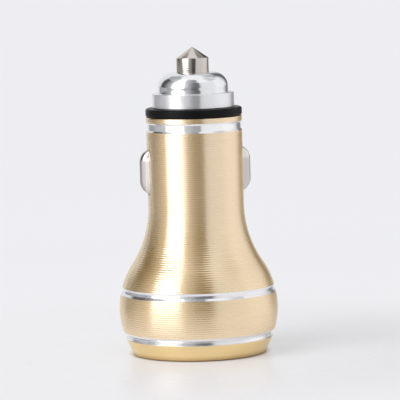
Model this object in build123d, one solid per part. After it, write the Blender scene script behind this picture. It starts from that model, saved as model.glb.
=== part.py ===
from build123d import *
import math
import os

# Car charger plug with two USB sockets, standing on its socket face with the nose up.
# Millimetres, +Z up. The origin is the middle of the foot's rim, and the side contacts lie on the X axis.

# Turned housing
neck_diameter = 20.8
neck_top = 51.5
neck_wall = 1.2
neck_edge_break = 0.15
bulb_radius = 17.2
bulb_centre_height = 9.9
flare_radius = 22.8
foot_height = 3.5
foot_taper = 1.5
foot_edge_radius = 0.55
foot_rim_width = 2.05
socket_bore_depth = 16.0
bore_cone_height = 8.0

# Bright grooves in the housing
neck_groove_rim = 1.1
neck_groove_height = 2.0
neck_groove_flank = 0.35
neck_groove_depth = 0.25
bulb_groove_bottom = 13.2
bulb_groove_height = 1.55
bulb_groove_flank = 0.49
bulb_groove_depth = 0.28
foot_groove_bevel = 0.1
foot_groove_land = 0.54
foot_groove_flank = 0.93
foot_groove_depth = 0.25

# Insulating bush between the neck and the nose
ring_height = 1.9
ring_overhang = 0.05
ring_edge_radius = 0.5
neck_spigot_length = 4.0
neck_spigot_wall = 2.1
bush_floor_thickness = 1.6
bush_floor_rise = 0.5
nose_spigot_wall = 1.5
nose_spigot_rise = 0.4

# Nose cap
cap_wall = 0.55
cap_top_wall = 1.4
flange_height = 3.2
flange_step = 1.25
flange_edge_radius = 0.2
dome_height = 4.4
dome_edge_radius = 3.2

# Sprung contact in the nose
tip_radius = 3.52
tip_standout = 3.1
tip_cone_height = 2.35
tip_nose_radius = 0.3
tip_collar_step = 1.68
tip_collar_height = 1.65
tip_stub_radius = 2.2
tip_stub_length = 2.0
spring_wire = 0.6
spring_radius = 3.6
spring_turns = 4.5
terminal_radius = 4.8
terminal_thickness = 0.4
tail_width = 1.6
tail_thickness = 0.3
tail_length = 6.0

# Sprung side contacts in the slots of the neck
contact_drop = 6.8
contact_length = 9.8
contact_width = 4.0
contact_standout = 1.65
contact_travel = 1.4
contact_bow_radius = 3.1
contact_lean = 0.8
contact_bend_radius = 1.4
contact_corner_radius = 0.6
contact_sheet = 0.4
contact_tab = 1.4
slot_gap = 0.12
leaf_thickness = 0.25
leaf_width = 1.2
leaf_half_span = 4.1

# Face plate and the two sockets
plate_recess = 0.4
plate_thickness = 2.0
rail_height = 8.0
rail_width = 2.5
rail_depth = 4.0
rail_edge_gap = 0.5
socket_recess = 0.2
socket_width = 13.1
socket_height = 5.7
socket_depth = 13.6
socket_sheet = 0.3
socket_corner_radius = 0.6
tongue_width = 11.1
tongue_thickness = 1.84
tongue_back_gap = 0.7
tongue_setback = 1.2
tongue_block_depth = 2.4
strip_width = 1.0
strip_thickness = 0.25
strip_setback = 0.9
strip_places = (-3.5, -1.0, 1.0, 3.5)

# Circuit board and its components
board_thickness = 1.2
board_bulb_margin = 1.4
board_neck_margin = 1.2
component_gap = 1.0
inductor_radius = 4.0
inductor_post_radius = 1.9
inductor_flange = 0.9
winding_radius = 3.5
winding_height = 3.0
can_edge_radius = 0.4
can_groove_height = 1.5
can_groove_depth = 0.25
lead_size = 0.5
lead_bend = 1.0
input_can_radius = 2.5
input_can_length = 9.0
output_can_radius = 3.0
output_can_length = 7.5
chip_width = 3.9
chip_length = 4.9
chip_height = 1.5
chip_leads_per_side = 4
chip_lead_pitch = 1.27
chip_lead_width = 0.42
chip_lead_reach = 1.0
chip_lead_height = 0.6
diode_size = (2.6, 2.2, 4.3)
fuse_size = (3.0, 1.2, 4.5)
small_chip_size = (1.25, 0.6, 2.0)
small_chip_spacing = 2.4
small_chip_columns = 3

# Fits
press_gap = 0.05
running_gap = 0.08
free_gap = 0.3
seat_gap = 0.1

# Two points this close are one
SAME_PLACE = 1e-4

# Sizes that follow from the ones above
neck_radius = neck_diameter / 2
neck_bore = neck_radius - neck_wall
foot_top_radius = math.sqrt(bulb_radius**2 - (foot_height - bulb_centre_height) ** 2)
foot_bottom_radius = foot_top_radius - foot_taper
socket_bore = foot_bottom_radius - foot_rim_width
bore_cone_top = socket_bore_depth + bore_cone_height

tip_hole = tip_radius + running_gap
collar_radius = tip_radius + tip_collar_step
chamber_radius = collar_radius + free_gap
nose_spigot_radius = chamber_radius + nose_spigot_wall
cap_bore = nose_spigot_radius + press_gap
dome_radius = cap_bore + cap_wall
flange_radius = dome_radius + flange_step

ring_top = neck_top + ring_height
flange_top = ring_top + flange_height
dome_top = flange_top + dome_height
cone_base = dome_top + tip_standout
tip_apex = cone_base + tip_cone_height
chamber_top = dome_top - cap_top_wall
collar_top = chamber_top - press_gap
collar_bottom = collar_top - tip_collar_height
nose_spigot_top = flange_top + nose_spigot_rise
floor_top = neck_top + bush_floor_rise
floor_bottom = floor_top - bush_floor_thickness
terminal_top = floor_top + terminal_thickness
neck_spigot_bottom = neck_top - neck_spigot_length
neck_spigot_radius = neck_bore - press_gap
neck_spigot_bore = neck_spigot_radius - neck_spigot_wall

contact_top = neck_top - contact_drop
contact_bottom = contact_top - contact_length
contact_middle = (contact_top + contact_bottom) / 2
contact_face = neck_radius + contact_standout
contact_shoulder = math.sqrt(neck_radius**2 - (contact_width / 2) ** 2)
bow_depth = contact_face - contact_shoulder
tab_face = math.sqrt(neck_bore**2 - (contact_width / 2) ** 2) - seat_gap
tab_back = tab_face - contact_sheet

plate_top = plate_recess + plate_thickness
plate_radius = socket_bore - press_gap
socket_mouth = plate_recess + socket_recess
socket_rear = socket_mouth + socket_depth
strip_tail_bottom = socket_rear + seat_gap
strip_tail_top = strip_tail_bottom + strip_thickness

board_face = board_thickness / 2
board_bulb_half = socket_bore - board_bulb_margin
board_neck_half = neck_bore - board_neck_margin
board_notch_half = tab_back - contact_travel - free_gap
board_tongue_half = min(board_notch_half, neck_spigot_bore - free_gap)
board_top = floor_bottom - seat_gap
component_start = strip_tail_top + component_gap


def turn(lines):
    """Solid of revolution about Z from outline pieces drawn as (radius, height)."""
    edges = [edge for line in lines for edge in line.edges()]
    return revolve(Plane.XZ * make_face(edges), Axis.Z)


def arc(start, end, centre):
    """The short arc from start to end about centre."""
    start, end, centre = Vector(*start), Vector(*end), Vector(*centre)
    radius = (start - centre).length
    middle = centre + ((start + end) * 0.5 - centre).normalized() * radius
    return ThreePointArc(start, middle, end)


def rings(shape, radius, height):
    """The circular edges of a turned shape at this radius and height."""
    circles = shape.edges().filter_by(GeomType.CIRCLE)
    level = [e for e in circles if abs(e.center().Z - height) < SAME_PLACE]
    return [e for e in level if abs(e.radius - radius) < SAME_PLACE]


def box_between(low, high):
    """A box from its lowest to its highest corner."""
    size = [b - a for a, b in zip(low, high)]
    return Pos(*low) * Box(*size, align=(Align.MIN, Align.MIN, Align.MIN))


def centred(count):
    """Whole steps spread evenly about zero, one for each of count places."""
    return [step - (count - 1) / 2 for step in range(count)]


def rear(shape):
    """The same piece on the other side of the board."""
    return Rot(0, 0, 180) * shape


def on_bulb(height):
    """The point of the bulb's outline at this height."""
    return (math.sqrt(bulb_radius**2 - (height - bulb_centre_height) ** 2), height)


def sunk(point, depth):
    """An outline point moved towards the axis."""
    return (point[0] - depth, point[1])


def housing():
    bulb_centre = (0, bulb_centre_height)
    flare_x = neck_radius + flare_radius
    flare_rise = math.sqrt((bulb_radius + flare_radius) ** 2 - flare_x**2)
    flare_centre = (flare_x, bulb_centre_height + flare_rise)
    share = bulb_radius / (bulb_radius + flare_radius)
    flare_start = (flare_x * share, bulb_centre_height + flare_rise * share)
    flare_end = (neck_radius, flare_centre[1])

    foot_land_bottom = foot_height + foot_groove_bevel
    foot_land_top = foot_land_bottom + foot_groove_land
    foot_land_radius = foot_top_radius - foot_groove_depth
    bulb_start = on_bulb(foot_land_top + foot_groove_flank)
    foot = Polyline(
        (socket_bore, 0),
        (foot_bottom_radius, 0),
        (foot_top_radius, foot_height),
        (foot_land_radius, foot_land_bottom),
        (foot_land_radius, foot_land_top),
        bulb_start,
    )

    bulb_groove_top = bulb_groove_bottom + bulb_groove_height
    groove_low = on_bulb(bulb_groove_bottom)
    groove_high = on_bulb(bulb_groove_top)
    bulb_groove = Polyline(
        groove_low,
        sunk(on_bulb(bulb_groove_bottom + bulb_groove_flank), bulb_groove_depth),
        sunk(on_bulb(bulb_groove_top - bulb_groove_flank), bulb_groove_depth),
        groove_high,
    )

    neck_groove_top = neck_top - neck_groove_rim
    neck_groove_bottom = neck_groove_top - neck_groove_height
    neck_groove_radius = neck_radius - neck_groove_depth
    neck_and_bore = Polyline(
        flare_end,
        (neck_radius, neck_groove_bottom),
        (neck_groove_radius, neck_groove_bottom + neck_groove_flank),
        (neck_groove_radius, neck_groove_top - neck_groove_flank),
        (neck_radius, neck_groove_top),
        (neck_radius, neck_top),
        (neck_bore, neck_top),
        (neck_bore, bore_cone_top),
        (socket_bore, socket_bore_depth),
        (socket_bore, 0),
    )
    shell = turn(
        [
            foot,
            arc(bulb_start, groove_low, bulb_centre),
            bulb_groove,
            arc(groove_high, flare_start, bulb_centre),
            arc(flare_start, flare_end, flare_centre),
            neck_and_bore,
        ]
    )
    shell = fillet(rings(shell, foot_bottom_radius, 0), foot_edge_radius)
    shell = chamfer(rings(shell, neck_radius, neck_top), neck_edge_break)

    slots = extrude(Plane.YZ * contact_plan(-slot_gap), contact_face, both=True)
    return shell - slots


def face_plate():
    plate = Pos(0, 0, plate_recess) * extrude(Circle(plate_radius), plate_thickness)
    rail_outer = plate_radius - rail_edge_gap
    rail_top = plate_top + rail_height
    for side in (-1, 1):
        low_x, high_x = sorted((side * rail_outer, side * (rail_outer - rail_width)))
        plate += box_between((low_x, -rail_depth / 2, plate_recess), (high_x, rail_depth / 2, rail_top))
        window = Rectangle(socket_width + 2 * seat_gap, socket_height + 2 * seat_gap)
        middle = side * (board_face + socket_height / 2)
        plate -= extrude(Pos(0, middle, plate_recess) * window, plate_thickness)
    groove_x = board_bulb_half + seat_gap
    groove_y = board_face + press_gap
    return plate - box_between((-groove_x, -groove_y, plate_top), (groove_x, groove_y, rail_top))


def insulating_bush():
    ring_radius = neck_radius + ring_overhang
    bush = turn(
        [
            Polyline(
                (0, floor_bottom),
                (neck_spigot_bore, floor_bottom),
                (neck_spigot_bore, neck_spigot_bottom),
                (neck_spigot_radius, neck_spigot_bottom),
                (neck_spigot_radius, neck_top),
                (ring_radius, neck_top),
                (ring_radius, ring_top),
                (nose_spigot_radius, ring_top),
                (nose_spigot_radius, nose_spigot_top),
                (chamber_radius, nose_spigot_top),
                (chamber_radius, floor_top),
                (0, floor_top),
                (0, floor_bottom),
            )
        ]
    )
    edges = rings(bush, ring_radius, neck_top) + rings(bush, ring_radius, ring_top)
    bush = fillet(edges, ring_edge_radius)
    half = tail_width / 2 + press_gap
    return bush - box_between(
        (-half, -board_face - tail_thickness - press_gap, floor_bottom),
        (half, -board_face + press_gap, floor_top),
    )


def nose_cap():
    cap_bore_top = nose_spigot_top + seat_gap
    cap = turn(
        [
            Polyline(
                (cap_bore, ring_top),
                (flange_radius, ring_top),
                (flange_radius, flange_top),
                (dome_radius, flange_top),
                (dome_radius, dome_top),
                (tip_hole, dome_top),
                (tip_hole, chamber_top),
                (chamber_radius, chamber_top),
                (chamber_radius, cap_bore_top),
                (cap_bore, cap_bore_top),
                (cap_bore, ring_top),
            )
        ]
    )
    cap = fillet(rings(cap, dome_radius, dome_top), dome_edge_radius)
    edges = rings(cap, flange_radius, ring_top) + rings(cap, flange_radius, flange_top)
    return fillet(edges, flange_edge_radius)


def contact_tip():
    nose_centre = Vector(0, tip_apex - tip_nose_radius)
    shoulder = Vector(tip_radius, cone_base)
    reach = shoulder - nose_centre
    along = tip_nose_radius**2 / reach.length**2
    across = tip_nose_radius * math.sqrt(reach.length**2 - tip_nose_radius**2) / reach.length**2
    touch = nose_centre + reach * along + Vector(-reach.Y, reach.X) * across
    stub_bottom = collar_bottom - tip_stub_length
    shank = Polyline(
        (0, stub_bottom),
        (tip_stub_radius, stub_bottom),
        (tip_stub_radius, collar_bottom),
        (collar_radius, collar_bottom),
        (collar_radius, collar_top),
        (tip_radius, collar_top),
        (tip_radius, cone_base),
        (touch.X, touch.Y),
    )
    nose = arc((touch.X, touch.Y), (0, tip_apex), (nose_centre.X, nose_centre.Y))
    return turn([shank, nose, Line((0, tip_apex), (0, stub_bottom))])


def tip_spring():
    rise = collar_bottom - terminal_top - spring_wire
    start = (0, 0, terminal_top + spring_wire / 2)
    path = Helix(rise / spring_turns, rise, spring_radius, center=start)
    section = Plane(origin=path @ 0, z_dir=path % 0) * Circle(spring_wire / 2)
    return sweep(section, path=path, is_frenet=True)


def positive_terminal():
    disc = Pos(0, 0, floor_top) * extrude(Circle(terminal_radius), terminal_thickness)
    half = tail_width / 2
    tail = box_between(
        (-half, -board_face - tail_thickness, floor_top - tail_length),
        (half, -board_face, floor_top),
    )
    return disc + tail


def contact_plan(inset):
    """The side contact's outline where it passes the slot, drawn in by inset."""
    outline = RectangleRounded(
        contact_width - 2 * inset, contact_length - 2 * inset, contact_corner_radius - inset
    )
    return Pos(0, contact_middle) * outline


def contact_section(inset):
    """The contact's section as (distance from its middle, depth below its crown), with a bend
    at each side of the crown and cheeks that lean in. Drawn in by inset, but not at the open back."""
    half = contact_width / 2
    corners = [(half - contact_lean, 0), (half, bow_depth)]
    if inset:
        corners.append((half, bow_depth + inset))
    other = [(-x, depth) for x, depth in reversed(corners)]
    section = make_face(Polyline(*corners, *other, close=True).edges())
    bends = [v for v in section.vertices() if abs(v.Y) < SAME_PLACE]
    section = fillet(bends, contact_bend_radius)
    return offset(section, -inset) if inset else section


def contact_block(inset):
    """The side contact's outer form, drawn in by inset on every side but the open back: a base that
    fills the slot, and a bar that bows out of it and back."""
    bow_rise = math.sqrt(contact_bow_radius**2 - (contact_bow_radius - bow_depth) ** 2)
    bow_turn = math.degrees(math.acos((contact_bow_radius - bow_depth) / contact_bow_radius))
    bow_x = contact_face - contact_bow_radius
    low, high = contact_bottom + bow_rise, contact_top - bow_rise

    section = Plane(origin=(contact_face, 0, low), x_dir=(0, 1, 0), z_dir=(0, 0, 1)) * contact_section(inset)
    bar = extrude(section, high - low)
    foot = revolve(section, Axis((bow_x, 0, low), (0, 1, 0)), bow_turn)
    head = revolve(Pos(0, 0, high - low) * section, Axis((bow_x, 0, high), (0, -1, 0)), bow_turn)
    back = Plane.YZ.offset(tab_back - inset)
    base = extrude(back * contact_plan(inset), contact_shoulder - tab_back + inset)
    return base + bar + foot + head


def ground_contact():
    contact = contact_block(0) - contact_block(contact_sheet)
    half = contact_width / 2
    ends = (
        (contact_bottom - contact_tab, contact_bottom + contact_sheet),
        (contact_top - contact_sheet, contact_top + contact_tab),
    )
    for low_z, high_z in ends:
        contact += box_between((tab_back, -half, low_z), (tab_face, half, high_z))
    return contact


def ground_spring():
    """A bowed leaf. Its crown's two edges rest on the bends inside the contact's sheet."""
    bend_turn = math.pi / 2 - math.atan2(contact_lean, bow_depth)
    flat_half = contact_width / 2 - contact_lean - contact_bend_radius * math.tan(bend_turn / 2)
    inner_bend = contact_bend_radius - contact_sheet
    overhang = max(leaf_width / 2 - flat_half, 0)
    crown = contact_face - contact_sheet - inner_bend + math.sqrt(inner_bend**2 - overhang**2)
    rise = crown - board_neck_half
    radius = (leaf_half_span**2 + rise**2) / (2 * rise)
    bow = Pos(crown - radius, contact_middle) * (Circle(radius) - Circle(radius - leaf_thickness))
    leaf = extrude(Plane.XZ * bow, leaf_width / 2, both=True)
    kept = box_between(
        (board_neck_half, -leaf_width, contact_bottom),
        (crown + leaf_thickness, leaf_width, contact_top),
    )
    return leaf & kept


def circuit_board():
    notch_low = contact_bottom - contact_tab - free_gap
    notch_low_end = contact_bottom + contact_sheet + free_gap
    notch_high = contact_top - contact_sheet - free_gap
    tongue_start = neck_spigot_bottom - free_gap
    edge = [
        (board_bulb_half, plate_top),
        (board_bulb_half, socket_bore_depth),
        (board_neck_half, bore_cone_top),
        (board_neck_half, notch_low),
        (board_notch_half, notch_low),
        (board_notch_half, notch_low_end),
        (board_neck_half, notch_low_end),
        (board_neck_half, notch_high),
        (board_notch_half, notch_high),
        (board_notch_half, tongue_start),
        (board_tongue_half, tongue_start),
        (board_tongue_half, board_top),
    ]
    other = [(-x, z) for x, z in reversed(edge)]
    outline = make_face(Polyline(*edge, *other, close=True).edges())
    return extrude(Plane.XZ * outline, board_face, both=True)


def socket_middle():
    """Centre line of the front socket."""
    return -(board_face + socket_height / 2)


def usb_shell():
    outer = RectangleRounded(socket_width, socket_height, socket_corner_radius)
    inner = RectangleRounded(
        socket_width - 2 * socket_sheet, socket_height - 2 * socket_sheet, socket_corner_radius - socket_sheet
    )
    return extrude(Pos(0, socket_middle(), socket_mouth) * (outer - inner), socket_depth)


def tongue_faces():
    """The tongue's outer face and its contact face, as places along Y in the front socket."""
    outer = -(board_face + socket_height - socket_sheet - tongue_back_gap)
    return outer, outer + tongue_thickness


def usb_contacts():
    contact_side = tongue_faces()[1]
    strips = []
    for place in strip_places:
        low_x, high_x = place - strip_width / 2, place + strip_width / 2
        start = socket_mouth + tongue_setback + strip_setback
        strip_back = contact_side + strip_thickness
        strip = box_between((low_x, contact_side, start), (high_x, strip_back, strip_tail_top))
        strip += box_between((low_x, contact_side, strip_tail_bottom), (high_x, -board_face, strip_tail_top))
        strips.append(strip.solid())
    return Compound(strips)


def usb_tongue():
    outer, contact_side = tongue_faces()
    fit = socket_sheet + press_gap
    block_outline = Rectangle(socket_width - 2 * fit, socket_height - 2 * fit)
    block_outline = fillet(block_outline.vertices(), socket_corner_radius - socket_sheet)
    block_bottom = socket_rear - tongue_block_depth
    block = extrude(Pos(0, socket_middle(), block_bottom) * block_outline, tongue_block_depth)
    tongue = box_between(
        (-tongue_width / 2, outer, socket_mouth + tongue_setback),
        (tongue_width / 2, contact_side, block_bottom),
    )
    return block + tongue - usb_contacts()


def front_disc(radius, low, high, middle):
    """A disc on the board's front, between two distances from the board's face."""
    return extrude(Plane.XZ.offset(board_face + low) * Pos(0, middle) * Circle(radius), high - low)


def inductor_core():
    middle = component_start + inductor_radius
    winding_top = inductor_flange + winding_height
    core = front_disc(inductor_radius, 0, inductor_flange, middle)
    core += front_disc(inductor_post_radius, inductor_flange, winding_top, middle)
    return core + front_disc(inductor_radius, winding_top, winding_top + inductor_flange, middle)


def inductor_winding():
    middle = component_start + inductor_radius
    winding_top = inductor_flange + winding_height
    coil = front_disc(winding_radius, inductor_flange, winding_top, middle)
    return coil - front_disc(inductor_post_radius, inductor_flange, winding_top, middle)


def can_capacitor(radius, length, bottom):
    """A can lying along the board's front, with two leads bent to the board."""
    can = turn(
        [
            Polyline(
                (0, 0),
                (radius, 0),
                (radius, can_groove_height - can_groove_depth),
                (radius - can_groove_depth, can_groove_height),
                (radius, can_groove_height + can_groove_depth),
                (radius, length),
                (0, length),
                (0, 0),
            )
        ]
    )
    can = fillet(rings(can, radius, length), can_edge_radius)
    can = Pos(0, -board_face - radius, bottom) * can
    half = lead_size / 2
    for middle in (-radius / 2, radius / 2):
        low_x, high_x = middle - half, middle + half
        low_y = -board_face - radius - half
        lead_bottom = bottom - lead_bend
        can += box_between((low_x, low_y, lead_bottom), (high_x, low_y + lead_size, bottom))
        can += box_between((low_x, low_y, lead_bottom), (high_x, -board_face, lead_bottom + lead_size))
    return can


def on_front(size, bottom, middle=0):
    """A block of (width, height off the board, length along it) on the board's front."""
    width, height, length = size
    low = (middle - width / 2, -board_face - height, bottom)
    return box_between(low, (middle + width / 2, -board_face, bottom + length))


def converter_chip(bottom):
    chip = on_front((chip_width, chip_height, chip_length), bottom)
    reach = chip_width / 2 + chip_lead_reach
    for row in centred(chip_leads_per_side):
        low_z = bottom + chip_length / 2 + row * chip_lead_pitch - chip_lead_width / 2
        chip += on_front((2 * reach, chip_lead_height, chip_lead_width), low_z)
    return rear(chip)


def small_chips(bottom):
    places = [column * small_chip_spacing for column in centred(small_chip_columns)]
    return [on_front(small_chip_size, bottom, middle).solid() for middle in places]


def board_components():
    """The components on both faces, each one stacked above the one below it."""
    inductor_top = component_start + 2 * inductor_radius
    input_can = inductor_top + component_gap + lead_bend
    fuse_bottom = input_can + input_can_length + component_gap
    front_chips = fuse_bottom + fuse_size[2] + component_gap
    output_can = component_start + lead_bend
    chip_bottom = output_can + output_can_length + component_gap
    diode_bottom = chip_bottom + chip_length + component_gap
    rear_chips = diode_bottom + diode_size[2] + component_gap
    rear_group = [rear(chip) for chip in small_chips(rear_chips)]
    return {
        "inductor_core": inductor_core(),
        "inductor_winding": inductor_winding(),
        "input_capacitor": can_capacitor(input_can_radius, input_can_length, input_can),
        "board_fuse": on_front(fuse_size, fuse_bottom),
        "output_capacitor": rear(can_capacitor(output_can_radius, output_can_length, output_can)),
        "converter_chip": converter_chip(chip_bottom),
        "rectifier_diode": rear(on_front(diode_size, diode_bottom)),
        "chip_components": Compound(small_chips(front_chips) + rear_group),
    }


pieces = {
    "housing": housing(),
    "face_plate": face_plate(),
    "insulating_bush": insulating_bush(),
    "nose_cap": nose_cap(),
    "contact_tip": contact_tip(),
    "tip_spring": tip_spring(),
    "positive_terminal": positive_terminal(),
    "ground_contact_right": ground_contact(),
    "ground_contact_left": rear(ground_contact()),
    "ground_spring_right": ground_spring(),
    "ground_spring_left": rear(ground_spring()),
    "circuit_board": circuit_board(),
    "usb_shell_front": usb_shell(),
    "usb_shell_rear": rear(usb_shell()),
    "usb_tongue_front": usb_tongue(),
    "usb_tongue_rear": rear(usb_tongue()),
    "usb_contacts_front": usb_contacts(),
    "usb_contacts_rear": rear(usb_contacts()),
    **board_components(),
}

os.makedirs("parts", exist_ok=True)
for name, shape in pieces.items():
    export_step(shape, f"parts/{name}.step")
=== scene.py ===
import math

import bpy
from mathutils import Matrix, Vector


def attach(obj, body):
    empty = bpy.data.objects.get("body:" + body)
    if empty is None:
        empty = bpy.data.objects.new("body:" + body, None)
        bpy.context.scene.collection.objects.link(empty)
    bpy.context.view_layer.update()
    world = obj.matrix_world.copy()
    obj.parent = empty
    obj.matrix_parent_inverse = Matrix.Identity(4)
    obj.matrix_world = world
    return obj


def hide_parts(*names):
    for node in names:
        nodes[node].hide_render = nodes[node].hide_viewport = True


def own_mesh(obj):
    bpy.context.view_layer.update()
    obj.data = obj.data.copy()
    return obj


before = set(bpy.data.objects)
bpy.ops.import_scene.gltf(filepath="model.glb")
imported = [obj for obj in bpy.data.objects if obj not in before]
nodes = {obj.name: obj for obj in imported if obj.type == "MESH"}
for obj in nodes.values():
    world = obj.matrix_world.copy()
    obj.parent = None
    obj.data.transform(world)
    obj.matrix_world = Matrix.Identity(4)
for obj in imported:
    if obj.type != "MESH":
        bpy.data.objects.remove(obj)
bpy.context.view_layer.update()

# Sizes of the turned pieces and springs in millimetres, the same as in the part's source.
MM = 0.001
neck_radius = 10.4
neck_bore = 9.2
neck_top = 51.5
neck_edge = 0.15
bulb_radius = 17.2
bulb_centre = 9.9
flare_radius = 22.8
foot_height = 3.5
foot_top_radius = 15.965
foot_bottom_radius = 14.465
foot_edge = 0.55
socket_bore = 12.415
socket_bore_depth = 16.0
socket_bore_edge = 0.1
bore_cone_top = 24.0
fine_edge = 0.05

neck_groove = (48.4, 50.4)
neck_groove_flank = 0.35
neck_groove_depth = 0.25
bulb_groove = (13.2, 14.75)
bulb_groove_flank = 0.49
bulb_groove_depth = 0.28
foot_groove = (3.5, 5.07)
foot_land = (3.6, 4.14)
foot_groove_depth = 0.25
foot_land_lean = 0.06

ring_top = 53.4
flange_top = 56.6
flange_radius = 8.85
flange_edge = 0.2
dome_top = 61.0
dome_radius = 7.6
dome_edge = 3.2
cap_bore = 7.05
cap_bore_top = 57.1
chamber_radius = 5.5
chamber_top = 59.6
tip_hole = 3.6

tip_radius = 3.52
tip_apex = 66.45
cone_base = 64.1
tip_nose_radius = 0.3
collar_radius = 5.2
collar = (57.9, 59.55)
stub_radius = 2.2
stub_bottom = 55.9
tip_edge = 0.14

coil_bottom = 52.4
coil_radius = 3.6
coil_wire = 0.6
coil_turns = 4.5
leaf_crown = 11.598
leaf_foot = 8.0
leaf_rise = leaf_crown - leaf_foot
leaf_half_span = 4.1
leaf_thickness = 0.25
leaf_width = 1.2

contact_middle = 39.8
contact_reach = 12.05
slot_width = 4.24
slot_length = 10.04
slot_corner = 0.72
slot_reach = 14.0
slot_rim_edge = 0.07
slot_margin = 1.0

# How finely the shapes are divided, and how near counts as the same place, in millimetres.
TURN_STEPS = 192
ARC_STEP = 2.5
NOSE_ARC_STEP = 10
LEAST_EDGE_STEPS, EDGE_STEPS_PER_MM = 3, 6
WIRE_SIDES, COIL_STEPS_PER_TURN = 14, 40
LEAF_STEPS = 44
SHARP = math.radians(20)
NEAR = 0.02
SAME = 0.001


class Shade:
    """One socket of a node tree. Operators on it add Math nodes, and node() adds any other node."""

    def __init__(self, tree, socket=None):
        self.tree, self.socket = tree, socket

    def node(self, kind, settings, inputs, output=0):
        made = self.tree.nodes.new(kind)
        for name, value in settings.items():
            if name == "stops":
                self.set_stops(made.color_ramp, value)
            else:
                setattr(made, name, value)
        for name, value in inputs.items():
            if isinstance(value, Shade):
                self.tree.links.new(value.socket, made.inputs[name])
            else:
                made.inputs[name].default_value = value
        return Shade(self.tree, made.outputs[output] if made.outputs else None)

    def set_stops(self, ramp, stops):
        while len(ramp.elements) < len(stops):
            ramp.elements.new(1.0)
        for element, (place, tone) in zip(ramp.elements, stops):
            element.position, element.color = place, (tone, tone, tone, 1)

    def math(self, operation, *terms):
        return self.node("ShaderNodeMath", {"operation": operation}, dict(enumerate(terms)))

    def waves(self, pitch):
        """A sine wave that repeats each time this value grows by the pitch."""
        return self.math("SINE", self * (2 * math.pi / pitch))

    def mix(self, first, second):
        """A colour between two, with this value as the share of the second."""
        return self.node("ShaderNodeMix", {"data_type": "RGBA"}, {0: self, 6: first, 7: second}, 2)

    def __add__(self, other):
        return self.math("ADD", self, other)

    def __sub__(self, other):
        return self.math("SUBTRACT", self, other)

    def __rsub__(self, other):
        return self.math("SUBTRACT", other, self)

    def __mul__(self, other):
        return self.math("MULTIPLY", self, other)

    def __truediv__(self, other):
        return self.math("DIVIDE", self, other)

    __radd__, __rmul__ = __add__, __mul__


def colour(red, green, blue):
    return (red, green, blue, 1)


def new_finish(name):
    """An empty material and its node tree."""
    finish = bpy.data.materials.new(name)
    finish.use_nodes = True
    finish.node_tree.nodes.clear()
    return finish, Shade(finish.node_tree)


def skin(tree, inputs):
    return tree.node("ShaderNodeBsdfPrincipled", {}, inputs)


def light(tree, shade):
    return tree.node("ShaderNodeEmission", {}, {"Color": shade, "Strength": 1.0})


def clear(tree):
    return tree.node("ShaderNodeBsdfTransparent", {}, {})


def layered(tree, share, first, second):
    """Two shaders, of which the second takes this share."""
    return tree.node("ShaderNodeMixShader", {}, {0: share, 1: first, 2: second})


def show(tree, shader):
    tree.node("ShaderNodeOutputMaterial", {}, {"Surface": shader})


def surface(tree, inputs):
    show(tree, skin(tree, inputs))


def hazed_surface(tree, inputs, share, haze):
    """A metal with a second, broader gloss that takes this share and differs in these inputs."""
    show(tree, layered(tree, share, skin(tree, inputs), skin(tree, {**inputs, **haze})))


def rise(tree, value, start, end, low=0.0, high=1.0):
    """A value that eases from low to high as another goes from start to end."""
    return tree.node("ShaderNodeMapRange", {"interpolation_type": "SMOOTHSTEP"}, {
        "Value": value, "From Min": start, "From Max": end, "To Min": low, "To Max": high,
    })


def place_on_piece(tree):
    return tree.node("ShaderNodeTexCoord", {}, {}, "Object")


def along_axis(tree, place, axis):
    return tree.node("ShaderNodeSeparateXYZ", {}, {"Vector": place}, axis)


def height_in_mm(tree, place):
    return along_axis(tree, place, "Z") / MM


def reach_from_axis(tree, place):
    flat = tree.node("ShaderNodeVectorMath", {"operation": "MULTIPLY"}, {0: place, 1: (1, 1, 0)})
    return tree.node("ShaderNodeVectorMath", {"operation": "LENGTH"}, {0: flat}, "Value")


def reach_in_mm(tree, place):
    return reach_from_axis(tree, place) / MM


def seen_from_below(tree):
    return tree.node("ShaderNodeNewGeometry", {}, {}, "Backfacing")


def noise(tree, place, size, detail=2.0):
    """Soft noise with patches of about this size in millimetres."""
    inputs = {"Vector": place, "Scale": 1 / (size * MM), "Detail": detail}
    return tree.node("ShaderNodeTexNoise", {}, inputs)


def lines(tree, height, spacing):
    """Uneven rings along the turning axis, about this far apart in millimetres."""
    inputs = {"W": height, "Scale": 1 / spacing, "Detail": 1.0}
    return tree.node("ShaderNodeTexNoise", {"noise_dimensions": "1D"}, inputs)


def bump(tree, relief, depth):
    """A normal from relief, where a relief of 1 stands this many millimetres high."""
    inputs = {"Strength": 1.0, "Distance": depth * MM, "Height": relief}
    return tree.node("ShaderNodeBump", {}, inputs)


def turned_gold():
    """Gold anodised metal with fine turning rings. The rings throw light to each other before it
    leaves, so a second, broad and deeper gold shows where the bright one mirrors nothing bright. The
    bright gold is paler on the neck than on the bulb, and changes over the flare."""
    flare_start, flare_end = 18.0, 34.0
    finish, tree = new_finish("turned_gold")
    place = place_on_piece(tree)
    height = height_in_mm(tree, place)
    uneven = lines(tree, height, spacing=0.9)
    cloud = noise(tree, place, size=9.0)
    rings = height.waves(pitch=0.46) * (0.6 + 0.8 * uneven)
    scratches = 0.3 * lines(tree, height, spacing=0.12)
    on_neck = rise(tree, height, flare_start, flare_end)
    bright = {
        "Base Color": on_neck.mix(colour(0.95, 0.912, 0.795), colour(0.95, 0.916, 0.863)),
        "Metallic": 1.0,
        "Roughness": 0.11 + 0.04 * uneven,
        "Anisotropic": 0.6,
        "Anisotropic Rotation": 0.25,
        "Normal": bump(tree, rings + scratches, depth=0.015),
    }
    hazed_surface(tree, bright, share=0.5 + 0.025 * rings, haze={
        "Base Color": cloud.mix(colour(0.96, 0.64, 0.25), colour(0.94, 0.62, 0.235)),
        "Roughness": 0.45 + 0.1 * uneven,
        "Anisotropic": 0.0,
    })
    return finish


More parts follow.
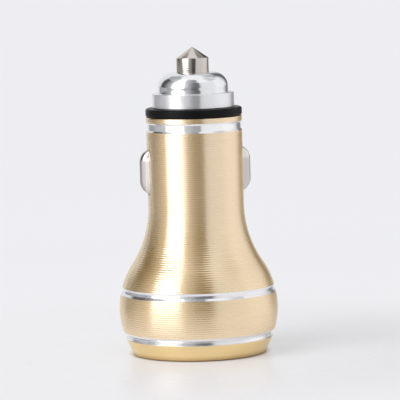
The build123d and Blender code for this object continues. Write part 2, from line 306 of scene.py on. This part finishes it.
def satin_gold():
    finish, tree = new_finish("satin_gold")
    place = place_on_piece(tree)
    cloud = noise(tree, place, size=6.0)
    grain = noise(tree, place, size=0.12, detail=3.0)
    surface(tree, {
        "Base Color": cloud.mix(colour(0.945, 0.72, 0.375), colour(0.92, 0.695, 0.355)),
        "Metallic": 1.0,
        "Roughness": 0.2 + 0.08 * grain,
        "Normal": bump(tree, grain, depth=0.002),
    })
    return finish


def bright_cut():
    finish, tree = new_finish("bright_cut_groove")
    place = place_on_piece(tree)
    height = height_in_mm(tree, place)
    cut_lines = lines(tree, height, spacing=0.09)
    cloud = noise(tree, place, size=4.0)
    cut = {
        "Base Color": cloud.mix(colour(0.94, 0.94, 0.96), colour(0.91, 0.91, 0.935)),
        "Metallic": 1.0,
        "Roughness": 0.05 + 0.05 * cut_lines,
    }
    hazed_surface(tree, cut, share=0.22, haze={"Roughness": 0.42 + 0.1 * cut_lines})
    return finish


def polished_aluminium():
    """Polished metal, with more haze on the flange than on the dome."""
    flange_share, dome_share = 0.55, 0.13
    step_start, step_end = flange_top - 0.1, flange_top + 0.2
    finish, tree = new_finish("polished_aluminium")
    place = place_on_piece(tree)
    height = height_in_mm(tree, place)
    polish_lines = lines(tree, height, spacing=0.15)
    haze = noise(tree, place, size=3.0, detail=4.0)
    polish = {
        "Base Color": haze.mix(colour(0.93, 0.935, 0.965), colour(0.90, 0.905, 0.935)),
        "Metallic": 1.0,
        "Roughness": 0.05 + 0.05 * polish_lines,
        "Normal": bump(tree, polish_lines, depth=0.0003),
    }
    share = rise(tree, height, step_start, step_end, flange_share, dome_share)
    hazed_surface(tree, polish, share, haze={"Roughness": 0.46 + 0.1 * haze})
    return finish


def turned_nickel():
    finish, tree = new_finish("turned_nickel")
    place = place_on_piece(tree)
    height = height_in_mm(tree, place)
    rings = height.waves(pitch=0.5) * lines(tree, height, spacing=0.7)
    scratches = 0.3 * lines(tree, height, spacing=0.14)
    haze = noise(tree, place, size=1.6, detail=4.0)
    surface(tree, {
        "Base Color": haze.mix(colour(0.71, 0.65, 0.61), colour(0.66, 0.60, 0.56)),
        "Metallic": 1.0,
        "Roughness": 0.07 + 0.07 * haze,
        "Normal": bump(tree, rings + scratches, depth=0.0025),
    })
    return finish


def nickel_sheet(name, crown_width, crown_shade):
    """Plated sheet, rougher below its upper bend, with a darker colour there and a darker colour along
    the crown, which touches the car's socket. Both darker colours are painted shade that dims the
    sheet's reflections."""
    crown_start = contact_reach - crown_width
    crown_blend = 0.1
    bend_start, bend_end = contact_middle + 3.0, contact_middle + 2.0
    finish, tree = new_finish(name)
    place = place_on_piece(tree)
    reach = reach_in_mm(tree, place)
    height = height_in_mm(tree, place)
    haze = noise(tree, place, size=1.6, detail=4.0)
    on_crown = rise(tree, reach, crown_start - crown_blend, crown_start + crown_blend)
    below_bend = rise(tree, height, bend_start, bend_end)
    # Painted shade: the dimmer colour below the bend and the crown's colour darken the sheet's
    # reflections.
    plated = haze.mix(colour(0.88, 0.835, 0.80), colour(0.82, 0.775, 0.74))
    painted_dim = haze.mix(colour(0.76, 0.72, 0.70), colour(0.71, 0.67, 0.65))
    surface(tree, {
        "Base Color": on_crown.mix(below_bend.mix(plated, painted_dim), crown_shade),
        "Metallic": 1.0,
        "Roughness": 0.06 + 0.04 * haze + 0.5 * below_bend,
        "Normal": bump(tree, lines(tree, height, spacing=0.14), depth=0.0006),
    })
    return finish


def moulded(name, pale, deep, roughness, grain_size, grain_depth, gloss=0.5):
    """Plastic or ceramic with a fine grain and slow changes of tone."""
    finish, tree = new_finish(name)
    place = place_on_piece(tree)
    cloud = noise(tree, place, size=5.0)
    grain = noise(tree, place, grain_size, detail=3.0)
    surface(tree, {
        "Base Color": cloud.mix(pale, deep),
        "Roughness": roughness + 0.12 * grain,
        "Specular IOR Level": gloss,
        "Normal": bump(tree, grain, grain_depth),
    })
    return finish


def rolled(name, pale, deep, roughness):
    """Sheet metal or wire with a rolled grain along Z and patches of tarnish."""
    squeeze = (1, 1, 0.06)
    finish, tree = new_finish(name)
    place = place_on_piece(tree)
    drawn_out = tree.node("ShaderNodeMapping", {}, {"Vector": place, "Scale": squeeze})
    grain = noise(tree, drawn_out, size=0.1, detail=3.0)
    tarnish = noise(tree, place, size=2.2, detail=4.0)
    surface(tree, {
        "Base Color": tarnish.mix(pale, deep),
        "Metallic": 1.0,
        "Roughness": roughness + 0.14 * grain,
        "Normal": bump(tree, grain, depth=0.0012),
    })
    return finish


def solder_mask():
    finish, tree = new_finish("solder_mask")
    place = place_on_piece(tree)
    weave = noise(tree, place, size=0.3)
    cloud = noise(tree, place, size=6.0)
    surface(tree, {
        "Base Color": cloud.mix(colour(0.02, 0.15, 0.06), colour(0.03, 0.19, 0.08)),
        "Roughness": 0.25 + 0.15 * weave,
        "Coat Weight": 0.3,
        "Normal": bump(tree, weave, depth=0.003),
    })
    return finish


def wound_copper():
    finish, tree = new_finish("wound_copper")
    place = place_on_piece(tree)
    across = along_axis(tree, place, "Y") / MM
    varnish = noise(tree, place, size=1.5)
    surface(tree, {
        "Base Color": varnish.mix(colour(0.62, 0.24, 0.09), colour(0.48, 0.17, 0.06)),
        "Metallic": 1.0,
        "Roughness": 0.28 + 0.1 * varnish,
        "Normal": bump(tree, across.waves(pitch=0.5), depth=0.06),
    })
    return finish


def arc(centre, radius, start, end, step=ARC_STEP):
    """Points of an arc between two angles in degrees, with both ends."""
    count = math.ceil(abs(end - start) / step)
    turns = [math.radians(start + (end - start) * i / count) for i in range(count + 1)]
    return [(centre[0] + radius * math.cos(t), centre[1] + radius * math.sin(t)) for t in turns]


def eased(corners):
    """An outline in which each corner that names a third number is rounded to that radius."""
    outline = []
    neighbours = zip(corners[-1:] + corners[:-1], corners, corners[1:] + corners[:1])
    for before, corner, after in neighbours:
        here = Vector(corner[:2])
        if len(corner) == 2:
            outline.append(tuple(here))
            continue
        size = corner[2]
        back = (Vector(before[:2]) - here).normalized()
        onward = (Vector(after[:2]) - here).normalized()
        half = back.angle(onward) / 2
        inward = (back + onward).normalized() / math.sin(half)
        start, end = back / math.tan(half) - inward, onward / math.tan(half) - inward
        steps = LEAST_EDGE_STEPS + round(EDGE_STEPS_PER_MM * size)
        for i in range(steps + 1):
            outline.append(tuple(here + (inward + start.lerp(end, i / steps).normalized()) * size))
    return outline


def new_piece(name, add, **shape):
    """A primitive with nothing else selected, open for editing."""
    bpy.ops.object.select_all(action="DESELECT")
    add(**shape)
    piece = bpy.context.active_object
    piece.name = piece.data.name = name
    bpy.ops.object.mode_set(mode="EDIT")
    return piece


def settle_place():
    bpy.ops.object.transform_apply(location=True, rotation=True, scale=True)


def close_piece():
    """Leaves edit mode with the normals outwards and the place in the mesh."""
    bpy.ops.mesh.select_all(action="SELECT")
    bpy.ops.mesh.normals_make_consistent(inside=False)
    bpy.ops.object.mode_set(mode="OBJECT")
    settle_place()


def pick(piece):
    """Selects one piece alone."""
    bpy.ops.object.select_all(action="DESELECT")
    piece.select_set(True)
    bpy.context.view_layer.objects.active = piece


def select_open_edges():
    bpy.ops.mesh.select_all(action="DESELECT")
    bpy.ops.mesh.select_non_manifold()


def select_edges(piece, wanted):
    """Selects in edit mode the edges whose two ends pass the test, in millimetres."""
    bpy.ops.mesh.select_mode(type="EDGE")
    bpy.ops.mesh.select_all(action="DESELECT")
    bpy.ops.object.mode_set(mode="OBJECT")
    ends = [piece.matrix_world @ vertex.co / MM for vertex in piece.data.vertices]
    for edge in piece.data.edges:
        edge.select = wanted(*(ends[i] for i in edge.vertices))
    bpy.ops.object.mode_set(mode="EDIT")


def turned(name, outline, pointed=False):
    """A piece turned about Z, ring by ring along an outline of (radius, height) in millimetres.
    The outline closes on itself, or ends in a point."""
    radius, height = outline[0]
    piece = new_piece(
        name, bpy.ops.mesh.primitive_circle_add,
        vertices=TURN_STEPS, radius=radius * MM, location=(0, 0, height * MM),
    )
    for next_radius, next_height in outline[1:]:
        step = (0, 0, (next_height - height) * MM)
        bpy.ops.mesh.extrude_region_move(TRANSFORM_OT_translate={"value": step})
        share = next_radius / radius
        middle = (0, 0, next_height * MM)
        bpy.ops.transform.resize(value=(share, share, 1), center_override=middle)
        radius, height = next_radius, next_height
    if pointed:
        bpy.ops.mesh.merge(type="CENTER")
        select_open_edges()
        bpy.ops.mesh.edge_face_add()
    else:
        select_open_edges()
        bpy.ops.mesh.bridge_edge_loops()
    close_piece()
    return piece


def smooth(piece):
    pick(piece)
    bpy.ops.object.shade_smooth_by_angle(angle=SHARP)


def smooth_beside_flats(piece):
    """Smooth shading that follows the broad faces, so that a straight wall mirrors straight."""
    smooth(piece)
    broad = piece.modifiers.new("broad_faces", "WEIGHTED_NORMAL")
    broad.weight = 90
    broad.keep_sharp = True
    bpy.ops.object.modifier_apply(modifier=broad.name)


def on_bulb(height):
    return math.sqrt(bulb_radius**2 - (height - bulb_centre) ** 2)


def bulb_angle(height):
    return math.degrees(math.asin((height - bulb_centre) / bulb_radius))


def housing_outline():
    """From the socket's bore round the foot, up the bulb, flare and neck, and down the bore again."""
    flare_x = neck_radius + flare_radius
    flare_rise = math.sqrt((bulb_radius + flare_radius) ** 2 - flare_x**2)
    meeting = math.degrees(math.atan2(flare_rise, flare_x))
    bulb = (0, bulb_centre)
    land_radius = foot_top_radius - foot_groove_depth
    low, high = bulb_groove[0] + bulb_groove_flank, bulb_groove[1] - bulb_groove_flank
    sunk_neck = neck_radius - neck_groove_depth
    return eased([
        (socket_bore, 0, socket_bore_edge),
        (foot_bottom_radius, 0, foot_edge),
        (foot_top_radius, foot_height, fine_edge),
        (land_radius + foot_land_lean, foot_land[0]),
        (land_radius - foot_land_lean, foot_land[1]),
        *arc(bulb, bulb_radius, bulb_angle(foot_groove[1]), bulb_angle(bulb_groove[0])),
        (on_bulb(low) - bulb_groove_depth, low),
        (on_bulb(high) - bulb_groove_depth, high),
        *arc(bulb, bulb_radius, bulb_angle(bulb_groove[1]), meeting),
        *arc((flare_x, bulb_centre + flare_rise), flare_radius, 180 + meeting, 180)[1:],
        (neck_radius, contact_middle - slot_length / 2 - slot_margin),
        (neck_radius, contact_middle + slot_length / 2 + slot_margin),
        (neck_radius, neck_groove[0], fine_edge),
        (sunk_neck, neck_groove[0] + neck_groove_flank),
        (sunk_neck, neck_groove[1] - neck_groove_flank),
        (neck_radius, neck_groove[1], fine_edge),
        (neck_radius, neck_top, neck_edge),
        (neck_bore, neck_top),
        (neck_bore, bore_cone_top),
        (socket_bore, socket_bore_depth),
    ])


def slot_cutter():
    """A bar along X with the rounded section of the two side slots."""
    bar = new_piece(
        "slot_cutter", bpy.ops.mesh.primitive_cube_add, size=1,
        location=(0, 0, contact_middle * MM),
        scale=(2 * slot_reach * MM, slot_width * MM, slot_length * MM),
    )
    select_edges(bar, lambda a, b: abs(a.x - b.x) > slot_reach)
    bpy.ops.mesh.bevel(offset=slot_corner * MM, segments=6, affect="EDGES")
    close_piece()
    return bar


def on_slot_rim(point):
    across = abs(point.y) < slot_width / 2 + NEAR
    along = abs(point.z - contact_middle) < slot_length / 2 + NEAR
    return across and along and abs(math.hypot(point.x, point.y) - neck_radius) < NEAR


def housing():
    shell = turned("turned_housing", housing_outline())
    bar = slot_cutter()
    pick(shell)
    cut = shell.modifiers.new("side_slots", "BOOLEAN")
    cut.operation, cut.solver, cut.object = "DIFFERENCE", "EXACT", bar
    bpy.ops.object.modifier_apply(modifier=cut.name)
    bpy.data.objects.remove(bar)
    bpy.ops.object.mode_set(mode="EDIT")
    select_edges(shell, lambda a, b: on_slot_rim(a) and on_slot_rim(b))
    bpy.ops.mesh.bevel(offset=slot_rim_edge * MM, segments=2, affect="EDGES")
    bpy.ops.object.mode_set(mode="OBJECT")
    smooth(shell)
    return shell


def nose_cap():
    cap = turned("polished_nose_cap", eased([
        (cap_bore, ring_top),
        (flange_radius, ring_top, flange_edge),
        (flange_radius, flange_top, flange_edge),
        (dome_radius, flange_top, fine_edge),
        (dome_radius, dome_top, dome_edge),
        (tip_hole, dome_top, fine_edge),
        (tip_hole, chamber_top),
        (chamber_radius, chamber_top),
        (chamber_radius, cap_bore_top),
        (cap_bore, cap_bore_top),
    ]))
    smooth_beside_flats(cap)
    return cap


def contact_tip():
    nose = Vector((0, tip_apex - tip_nose_radius))
    cone = Vector((tip_radius, cone_base)) - nose
    nose_start = math.degrees(math.atan2(cone.y, cone.x) + math.acos(tip_nose_radius / cone.length))
    nose_end = 85
    towards_axis = (0.5, stub_bottom)
    # The first point only gives the stub's rounded corner its direction, and is left out again.
    outline = eased([
        towards_axis,
        (stub_radius, stub_bottom, fine_edge),
        (stub_radius, collar[0]),
        (collar_radius, collar[0], fine_edge),
        (collar_radius, collar[1], fine_edge),
        (tip_radius, collar[1]),
        (tip_radius, cone_base, tip_edge),
        *arc(nose, tip_nose_radius, nose_start, nose_end, NOSE_ARC_STEP),
    ])[1:]
    tip = turned("turned_contact_tip", outline, pointed=True)
    smooth(tip)
    return tip


def coil_spring():
    """The spring under the tip, one round wire section swept up by a screw."""
    wire = new_piece(
        "coil_spring", bpy.ops.mesh.primitive_circle_add,
        vertices=WIRE_SIDES, radius=coil_wire / 2 * MM,
        location=(coil_radius * MM, 0, (coil_bottom + coil_wire / 2) * MM),
        rotation=(math.pi / 2, 0, 0),
    )
    bpy.ops.object.mode_set(mode="OBJECT")
    settle_place()
    sweep = wire.modifiers.new("turns", "SCREW")
    sweep.axis = "Z"
    sweep.angle = 2 * math.pi * coil_turns
    sweep.screw_offset = (collar[0] - coil_bottom - coil_wire) * MM
    sweep.steps = sweep.render_steps = round(COIL_STEPS_PER_TURN * coil_turns)
    bpy.ops.object.modifier_apply(modifier=sweep.name)
    bpy.ops.object.mode_set(mode="EDIT")
    select_open_edges()
    bpy.ops.mesh.fill_holes(sides=0)
    close_piece()
    smooth(wire)
    return wire


def leaf_spring():
    """The bowed leaf behind the right contact, its flat section spun about the bow's centre."""
    bow = (leaf_half_span**2 + leaf_rise**2) / (2 * leaf_rise)
    middle = Vector((leaf_crown - bow, 0, contact_middle)) * MM
    spread = math.radians(88)
    section = (middle.x + (bow - leaf_thickness / 2) * MM, 0, middle.z)
    leaf = new_piece(
        "leaf_spring_right", bpy.ops.mesh.primitive_plane_add, size=MM, location=section
    )
    bpy.ops.mesh.delete(type="ONLY_FACE")
    bpy.ops.mesh.select_all(action="SELECT")
    bpy.ops.transform.resize(value=(leaf_thickness, leaf_width, 1), center_override=section)
    bpy.ops.transform.rotate(value=-spread, orient_axis="Y", center_override=middle)
    bpy.ops.mesh.spin(steps=LEAF_STEPS, angle=2 * spread, center=middle, axis=(0, 1, 0))
    select_open_edges()
    bpy.ops.mesh.fill_holes(sides=0)
    bpy.ops.mesh.select_all(action="SELECT")
    bpy.ops.mesh.remove_doubles(threshold=SAME * MM)
    bpy.ops.mesh.bisect(
        plane_co=(leaf_foot * MM, 0, 0), plane_no=(1, 0, 0), use_fill=True, clear_inner=True,
        threshold=SAME * MM,
    )
    close_piece()
    smooth(leaf)
    return leaf


def other_side(piece, name):
    """A copy with its own mesh, turned half round the axis."""
    pick(piece)
    bpy.ops.object.duplicate()
    copy = bpy.context.active_object
    copy.name = copy.data.name = name
    bpy.ops.transform.rotate(value=math.pi, orient_axis="Z", center_override=(0, 0, 0))
    settle_place()
    return copy


def give(piece, *finishes):
    piece.data.materials.clear()
    for finish in finishes:
        piece.data.materials.append(finish)


def dress_housing(shell):
    """Gold above the foot's groove, satin gold below it and in the bore, and bright grooves."""
    give(shell, turned_gold(), satin_gold(), bright_cut())
    gold, satin, bright = range(3)
    grooves = (neck_groove, bulb_groove, foot_groove)
    on_neck_bore, past_neck_bore = neck_bore + 0.1, neck_bore + 0.5
    past_socket_bore = socket_bore + 1
    for face in shell.data.polygons:
        radius = math.hypot(face.center.x, face.center.y) / MM
        height = face.center.z / MM
        level_with_groove = any(low < height < high for low, high in grooves)
        if radius > past_neck_bore and level_with_groove:
            outside = radius > past_socket_bore or height > bore_cone_top
            face.material_index = bright if outside else satin
        else:
            foot_or_bore = height <= foot_groove[0] or radius < on_neck_bore
            face.material_index = satin if foot_or_bore else gold


def settle(piece, body, slot, *replaced):
    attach(piece, body)
    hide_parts(*replaced)


shell = housing()
dress_housing(shell)
settle(shell, "base", "gold_body", "housing")

cap = nose_cap()
give(cap, polished_aluminium())
settle(cap, "base", "polished_cap", "nose_cap")

tip = contact_tip()
give(tip, turned_nickel())
settle(tip, "nose_contact", "nickel_contact", "contact_tip")

spring_wire = rolled(
    "drawn_spring_steel", colour(0.64, 0.64, 0.65), colour(0.55, 0.55, 0.56), roughness=0.22
)
coil = coil_spring()
give(coil, spring_wire)
settle(coil, "base", "spring_steel", "tip_spring")
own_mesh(coil)

right_leaf = leaf_spring()
left_leaf = other_side(right_leaf, "leaf_spring_left")
for leaf, side, joint, node in (
    (right_leaf, 1, "right_contact_press", "ground_spring_right"),
    (left_leaf, -1, "left_contact_press", "ground_spring_left"),
):
    give(leaf, spring_wire)
    settle(leaf, "base", "spring_steel", node)
    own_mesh(leaf)

black_moulding = moulded(
    "black_moulding", colour(0.013, 0.013, 0.015), colour(0.019, 0.019, 0.021),
    roughness=0.3, grain_size=0.15, grain_depth=0.002,
)
ring_moulding = moulded(
    "ring_moulding", colour(0.004, 0.004, 0.0048), colour(0.006, 0.006, 0.007),
    roughness=0.3, grain_size=0.15, grain_depth=0.002, gloss=0.12,
)
socket_plastic = moulded(
    "socket_plastic", colour(0.80, 0.80, 0.78), colour(0.74, 0.74, 0.72),
    roughness=0.4, grain_size=0.2, grain_depth=0.002,
)
can_sleeve = moulded(
    "can_sleeve", colour(0.02, 0.03, 0.07), colour(0.03, 0.04, 0.09),
    roughness=0.25, grain_size=0.4, grain_depth=0.002,
)
component_black = moulded(
    "component_black", colour(0.02, 0.02, 0.021), colour(0.03, 0.03, 0.032),
    roughness=0.5, grain_size=0.1, grain_depth=0.004,
)
sintered_ferrite = moulded(
    "sintered_ferrite", colour(0.05, 0.05, 0.055), colour(0.075, 0.075, 0.08),
    roughness=0.55, grain_size=0.2, grain_depth=0.006,
)
fuse_ceramic = moulded(
    "fuse_ceramic", colour(0.76, 0.71, 0.57), colour(0.68, 0.63, 0.50),
    roughness=0.45, grain_size=0.15, grain_depth=0.003,
)
chip_ceramic = moulded(
    "chip_ceramic", colour(0.38, 0.28, 0.17), colour(0.31, 0.22, 0.13),
    roughness=0.4, grain_size=0.12, grain_depth=0.003,
)
socket_sheet = rolled(
    "socket_sheet", colour(0.72, 0.71, 0.70), colour(0.62, 0.61, 0.60), roughness=0.2
)
strip_plating = rolled(
    "strip_plating", colour(0.88, 0.68, 0.32), colour(0.80, 0.60, 0.26), roughness=0.16
)
terminal_brass = rolled(
    "terminal_brass", colour(0.80, 0.62, 0.30), colour(0.68, 0.50, 0.22), roughness=0.22
)
# The crown colours are painted shade, darker and narrower on the right than on the left.
right_sheet = nickel_sheet("right_contact_sheet", crown_width=0.25, crown_shade=colour(0.50, 0.48, 0.47))
left_sheet = nickel_sheet("left_contact_sheet", crown_width=0.85, crown_shade=colour(0.56, 0.52, 0.52))

node_finishes = {
    "insulating_bush": ring_moulding,
    "face_plate": black_moulding,
    "ground_contact_right": right_sheet,
    "ground_contact_left": left_sheet,
    "positive_terminal": terminal_brass,
    "circuit_board": solder_mask(),
    "usb_shell_front": socket_sheet,
    "usb_shell_rear": socket_sheet,
    "usb_tongue_front": socket_plastic,
    "usb_tongue_rear": socket_plastic,
    "usb_contacts_front": strip_plating,
    "usb_contacts_rear": strip_plating,
    "inductor_core": sintered_ferrite,
    "inductor_winding": wound_copper(),
    "input_capacitor": can_sleeve,
    "output_capacitor": can_sleeve,
    "converter_chip": component_black,
    "rectifier_diode": component_black,
    "board_fuse": fuse_ceramic,
    "chip_components": chip_ceramic,
}
for node, finish in node_finishes.items():
    nodes[node].material_slots[0].material = finish

# The camera, fitted to the photograph: turned about the plug's axis, looking a little down, slightly
# rolled. Its place is in millimetres and its focal length in the photograph's pixels.
camera_turn = math.radians(8)
camera_pitch = math.radians(5.62)
camera_roll = math.radians(-1.52)
camera_distance, camera_offset, camera_height = 620.0, 0.87, 94.2
focal_length, frame_width = 2871, 400
sensor_width = 36
camera = bpy.data.objects.new("camera", bpy.data.cameras.new("camera"))
bpy.context.scene.collection.objects.link(camera)
camera.data.sensor_width = sensor_width
camera.data.lens = focal_length / frame_width * sensor_width
camera_facing = (
    Matrix.Rotation(-camera_turn, 4, "Z")
    @ Matrix.Rotation(math.pi / 2 - camera_pitch, 4, "X")
    @ Matrix.Rotation(camera_roll, 4, "Z")
)
camera_place = Matrix.Rotation(-camera_turn, 4, "Z") @ Vector(
    (camera_offset * MM, -camera_distance * MM, camera_height * MM)
)
camera.matrix_world = Matrix.Translation(camera_place) @ camera_facing
bpy.context.scene.camera = camera

# The stage, in metres.
floor_size = 14
backdrop = colour(0.855, 0.857, 0.89)
plain_light = colour(0.64, 0.64, 0.64)
tent_radius, tent_height = 0.22, 0.25
tent_sides, card_sides = 180, 90
table_height = 0.0003
table_start, table_end = 0.03, 0.075
lamp_bearing, lamp_tilt = math.radians(55), math.radians(45)
lamp_spread = math.radians(40)
lamp_energy = 1.6

# Tones round the tent, by the angle from the camera's direction, rightwards in the picture: on the
# table, then on the wall from the neck's reflection up, and on the roof. A soft lamp fills the front
# left. Each ring of the wall takes over between two heights, and the wall's foot is like the backdrop.
table_tones = [
    (-180, 0.85), (-130, 0.80), (-119, 0.25), (-104, 0.25), (-92, 0.40), (-76, 0.55), (-72, 0.62),
    (-64, 1.7), (-26, 1.7), (-14, 0.42), (-8, 0.34), (-2, 0.26), (18, 0.24), (26, 0.62), (34, 0.77),
    (66, 0.79), (80, 0.90), (104, 0.93), (116, 0.84), (128, 0.50), (150, 0.48), (160, 0.75),
    (180, 0.85),
]
neck_tones = [
    (-180, 0.85), (-147, 0.82), (-139, 0.32), (-120, 0.32), (-112, 0.38), (-103, 0.47), (-90, 0.47),
    (-78, 0.47), (-73, 0.60), (-68, 2.3), (-30, 2.2), (-22, 0.62), (-16, 0.52), (-10, 0.50),
    (-2, 0.41), (14, 0.37), (19, 0.93), (70, 0.96), (76, 1.02), (104, 0.99), (116, 0.86), (126, 0.55),
    (131, 0.18), (150, 0.18), (158, 0.60), (180, 0.80),
]
nose_tones = [
    (-180, 0.85), (-144, 0.80), (-135, 0.26), (-124, 0.37), (-112, 0.39), (-98, 0.42), (-88, 0.30),
    (-77, 0.39), (-67, 0.78), (-58, 1.1), (-47, 1.1), (-39, 0.80), (-31, 0.43), (-21, 0.33),
    (-12, 0.34), (-4, 0.13), (5, 0.05), (15, 0.05), (18, 0.30), (23, 0.76), (66, 0.81), (84, 0.91),
    (112, 0.87), (122, 0.66), (130, 0.40), (137, 0.15), (152, 0.18), (162, 0.60), (180, 0.85),
]
upper_tones = [
    (-180, 0.85), (-140, 0.82), (-132, 0.70), (-126, 0.03), (-107, 0.03), (-97, 0.22), (-84, 0.38),
    (-76, 0.50), (-69, 2.7), (-35, 2.7), (-27, 0.75), (-18, 0.46), (-9, 0.34), (-3, 0.20), (4, 0.12),
    (20, 0.10), (26, 0.68), (32, 0.82), (76, 0.84), (86, 0.95), (118, 0.90), (130, 0.78), (140, 0.50),
    (146, 0.10), (165, 0.10), (174, 0.60), (180, 0.85),
]
roof_tones = [
    (-180, 0.85), (-150, 0.80), (-141, 0.35), (-104, 0.40), (-80, 0.55), (-74, 0.65), (-68, 1.5),
    (-38, 1.5), (-31, 0.66), (-20, 0.48), (-8, 0.36), (-2, 0.27), (14, 0.26), (20, 0.80), (30, 0.98),
    (58, 0.98), (76, 0.64), (100, 0.60), (110, 0.75), (122, 0.70), (133, 0.35), (146, 0.35),
    (153, 0.75), (180, 0.85),
]
wall_rings = [
    (table_tones, 0.0, 0.005),
    (neck_tones, 0.006, 0.016),
    (nose_tones, 0.0365, 0.0385),
    (upper_tones, 0.058, 0.070),
]
wall_foot_tone = 0.86
roof_middle_tone = 0.95
roof_middle_end, roof_ring_start = 0.30, 0.42
brightest = 2.8


def tones(tree, place, stops):
    """The tone at a place's bearing from the camera's direction, which may be brighter than white."""
    across, along = (along_axis(tree, place, axis) for axis in "XY")
    bearing = tree.math("ARCTAN2", across, 0 - along) + camera_turn
    share = tree.math("FRACT", bearing / (2 * math.pi) + 0.5)
    scaled = [(angle / 360 + 0.5, tone / brightest) for angle, tone in stops]
    return tree.node("ShaderNodeValToRGB", {"stops": scaled}, {0: share}) * brightest


def eased_between(tree, low, high, value, start, end):
    """A tone that goes from low to high as a value goes from start to end."""
    return low + (high - low) * rise(tree, value, start, end)


def wall_tone(tree, place):
    height = along_axis(tree, place, "Z")
    tone = wall_foot_tone
    for stops, start, end in wall_rings:
        tone = eased_between(tree, tone, tones(tree, place, stops), height, start, end)
    return tone


def roof_tone(tree, place):
    share = reach_from_axis(tree, place) / tent_radius
    ring = tones(tree, place, roof_tones)
    return eased_between(tree, roof_middle_tone, ring, share, roof_middle_end, roof_ring_start)


def glow(name, tone_of):
    """A card of the light tent with a tone for each place on it."""
    finish, tree = new_finish(name)
    show(tree, light(tree, tone_of(tree, place_on_piece(tree))))
    return finish


def table_glow():
    """The tent's own table card. It begins a little way off from the plug and is clear from below."""
    finish, tree = new_finish("table_tones")
    place = place_on_piece(tree)
    card = light(tree, tones(tree, place, table_tones))
    share = rise(tree, reach_from_axis(tree, place), table_start, table_end)
    show(tree, layered(tree, share * (1 - seen_from_below(tree)), clear(tree), card))
    return finish


def seen_directly(tree):
    """1 for the camera, for gloss and for glass, and 0 for the light that falls on things."""
    rays = ("Is Camera Ray", "Is Glossy Ray", "Is Transmission Ray")
    camera_ray, gloss_ray, glass_ray = (tree.node("ShaderNodeLightPath", {}, {}, ray) for ray in rays)
    return 1 - (1 - camera_ray) * (1 - gloss_ray) * (1 - glass_ray)


def pale_floor():
    """Pale board, slightly glossy near the plug, with a painted warm contact shadow that is darkest
    right under the foot's edge. It is open from below and under the socket face, so that light from
    below gets to the face."""
    shade_reach = 1.2
    gloss_end, dull_start = 25.0, 110.0
    lift_share = 0.35
    foot_flat = foot_bottom_radius - foot_edge
    opening_edge = 0.3
    finish, tree = new_finish("pale_floor")
    place = place_on_piece(tree)
    reach = reach_in_mm(tree, place)
    cloud = noise(tree, place, size=400.0)
    openness = tree.node(
        "ShaderNodeAmbientOcclusion", {"samples": 12}, {"Distance": shade_reach * MM}, "AO"
    )
    bare = cloud.mix(colour(0.85, 0.85, 0.875), colour(0.865, 0.865, 0.89))
    # Painted contact shadow: where ambient occlusion is low, under the foot's edge, the board goes to
    # a warm dark brown. This is a painted shadow with a painted warm glow from the gold.
    board = skin(tree, {
        "Base Color": openness.mix(colour(0.22, 0.13, 0.05), bare),
        "Roughness": rise(tree, reach, gloss_end, dull_start, 0.22, 0.85),
        "Specular IOR Level": 0.5,
    })
    # The backdrop lift fades with the same occlusion, so the painted shadow also shows to the camera
    # and in reflections.
    lift = seen_directly(tree) * (lift_share * openness)
    lifted = layered(tree, lift, board, light(tree, backdrop))
    beyond_face = rise(tree, reach, foot_flat - opening_edge, foot_flat)
    opened = 1 - (1 - seen_from_below(tree)) * beyond_face
    show(tree, layered(tree, opened, lifted, clear(tree)))
    return finish


def only_in_reflections(card):
    card.visible_camera = card.visible_diffuse = card.visible_shadow = False
    card.visible_transmission = card.visible_volume_scatter = False


def round_card(name, height, finish):
    """A level card of the light tent."""
    card = new_piece(
        name, bpy.ops.mesh.primitive_circle_add, vertices=card_sides, radius=tent_radius,
        fill_type="NGON", location=(0, 0, height),
    )
    close_piece()
    give(card, finish)
    only_in_reflections(card)


bpy.ops.object.select_all(action="DESELECT")
bpy.ops.mesh.primitive_plane_add(size=floor_size)
floor = bpy.context.active_object
floor.name = "floor"
give(floor, pale_floor())

tent = new_piece(
    "tent_wall", bpy.ops.mesh.primitive_cylinder_add, vertices=tent_sides, radius=tent_radius,
    depth=tent_height, end_fill_type="NOTHING", location=(0, 0, tent_height / 2),
)
close_piece()
give(tent, glow("wall_tones", wall_tone))
only_in_reflections(tent)
round_card("tent_roof", tent_height, glow("roof_tones", roof_tone))
round_card("tent_table", table_height, table_glow())

# The same pale backdrop for the camera, for gloss and for glass, and plain light for all else.
world = bpy.data.worlds.new("studio")
bpy.context.scene.world = world
world.use_nodes = True
world.node_tree.nodes.clear()
sky = Shade(world.node_tree)
background = sky.node("ShaderNodeBackground", {}, {
    "Color": seen_directly(sky).mix(plain_light, backdrop), "Strength": 1.0,
})
sky.node("ShaderNodeOutputWorld", {}, {"Surface": background})

# A broad lamp from the front left, only for the light that falls on things.
lamp = bpy.data.objects.new("lamp", bpy.data.lights.new("lamp", "SUN"))
bpy.context.scene.collection.objects.link(lamp)
lamp.data.energy = lamp_energy
lamp.data.angle = lamp_spread
lamp_heading = Matrix.Rotation(-camera_turn - lamp_bearing, 4, "Z")
lamp.matrix_world = lamp_heading @ Matrix.Rotation(lamp_tilt, 4, "X")
lamp.visible_glossy = False

bpy.context.scene.view_settings.view_transform = "Standard"
